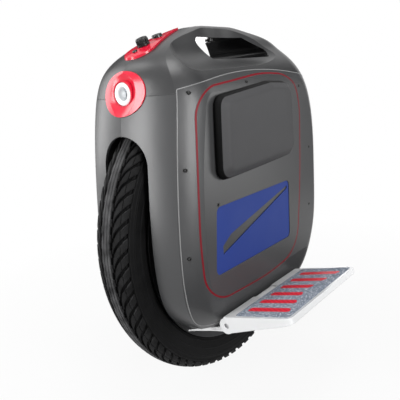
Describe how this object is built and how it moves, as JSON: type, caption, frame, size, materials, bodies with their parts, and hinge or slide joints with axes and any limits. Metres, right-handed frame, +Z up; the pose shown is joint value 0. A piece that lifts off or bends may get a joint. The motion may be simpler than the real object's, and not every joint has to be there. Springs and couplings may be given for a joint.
{
  "type": "electric unicycle",
  "caption": "Electric unicycle: hub-motor wheel inside a moulded casing with a carrying handle, knee pads, folding pedals, headlight and a control pod.",
  "frame": {"origin": "on the ground under the axle, where the tyre stands", "axes": "+X forward (headlight), +Y to the rider's left, +Z up; the axle lies along Y"},
  "size_m": [0.482, 0.3437, 0.5574],
  "materials": {
    "tyre": "matt black rubber",
    "rubber_black": "matt black",
    "rim_dark": "black anodised",
    "motor_silver": "cast, satin",
    "magnet": "nickel plated",
    "steel": "zinc plated",
    "lamination": "varnished sheet steel",
    "copper": "enamelled copper wire",
    "hanger_white": "light satin",
    "pedal_silver": "light satin",
    "grip_tape": "gritty, speckled",
    "red_matte": "matt",
    "chassis_black": "matt moulded",
    "battery_wrap": "shrink wrap",
    "board_green": "lacquered",
    "casing_grey": "satin moulded, metallic grey",
    "red_gloss": "high gloss",
    "screw_black": "blackened",
    "window_blue": "smooth",
    "pad_foam": "moulded foam skin",
    "lamp_white": "gloss",
    "lamp_lens": "clear",
    "tail_red": "gloss, translucent",
    "socket_metal": "plated",
    "button_black": "gloss"
  },
  "bodies": {
    "chassis": {"motor_cable": "rubber_black", "heatsink": "motor_silver", "axle": "steel", "axle_nuts": "steel", "hanger_bolts": "steel", "hinge_pins": "steel", "stator_core": "lamination", "stator_winding": "copper", "hanger_left": "hanger_white", "hanger_right": "hanger_white", "inner_shell_left": "chassis_black", "inner_shell_right": "chassis_black", "wheel_tunnel": "chassis_black", "fan_frame": "chassis_black", "speaker": "chassis_black", "battery_front_left": "battery_wrap", "battery_front_right": "battery_wrap", "battery_rear_left": "battery_wrap", "battery_rear_right": "battery_wrap", "control_board": "board_green", "top_shell": "casing_grey", "front_fascia": "casing_grey", "rear_fascia": "casing_grey", "side_panel_left": "casing_grey", "side_panel_right": "casing_grey", "light_strips": "red_gloss", "headlight_bezel": "red_gloss", "control_plate": "red_gloss", "panel_screws": "screw_black", "window_left": "window_blue", "window_right": "window_blue", "knee_pad_left": "pad_foam", "knee_pad_right": "pad_foam", "headlight_ring": "lamp_white", "headlight_lens": "lamp_lens", "tail_light": "tail_red", "charge_socket": "socket_metal"},
    "wheel": {"tyre": "tyre", "inner_tube": "rubber_black", "rim": "rim_dark", "magnet_ring": "magnet", "motor_cover_left": "motor_silver", "motor_cover_right": "motor_silver", "cover_screws": "steel", "bearings": "steel", "valve_stem": "steel"},
    "left_pedal": {"pedal_left": "pedal_silver", "pedal_grip_left": "grip_tape", "pedal_stripes_left": "red_matte"},
    "right_pedal": {"pedal_right": "pedal_silver", "pedal_grip_right": "grip_tape", "pedal_stripes_right": "red_matte"},
    "power_key": {"power_button": "button_black"},
    "light_key": {"light_button": "button_black"},
    "cutoff_key": {"cutoff_button": "button_black"},
    "cap": {"charge_cap": "rubber_black"},
    "fan": {"fan_rotor": "chassis_black"}
  },
  "joints": [
    {"name": "wheel_spin", "type": "hinge", "parent": "chassis", "child": "wheel", "pos_m": [0, 0, 0.241], "axis": [0, 1, 0], "continuous": true},
    {"name": "left_pedal_fold", "type": "hinge", "parent": "chassis", "child": "left_pedal", "pos_m": [0.0235, 0.108, 0.133], "axis": [1, 0, 0], "range_deg": [0, 64]},
    {"name": "right_pedal_fold", "type": "hinge", "parent": "chassis", "child": "right_pedal", "pos_m": [0.0235, -0.108, 0.133], "axis": [1, 0, 0], "range_deg": [0, 64]},
    {"name": "power_press", "type": "slide", "parent": "chassis", "child": "power_key", "axis": [-0.3211, 0, -0.9471], "range_m": [0, 0.002], "stiffness_N_per_m": 500},
    {"name": "light_press", "type": "slide", "parent": "chassis", "child": "light_key", "axis": [-0.4866, 0, -0.8736], "range_m": [0, 0.0012], "stiffness_N_per_m": 500},
    {"name": "cutoff_press", "type": "slide", "parent": "chassis", "child": "cutoff_key", "axis": [0, 0, 1], "range_m": [0, 0.002], "stiffness_N_per_m": 500},
    {"name": "cap_pull", "type": "slide", "parent": "chassis", "child": "cap", "axis": [0.4004, 0, 0.9163], "range_m": [0, 0.014]},
    {"name": "fan_spin", "type": "hinge", "parent": "chassis", "child": "fan", "pos_m": [0, 0.0506, 0.446], "axis": [0, 1, 0], "continuous": true}
  ]
}
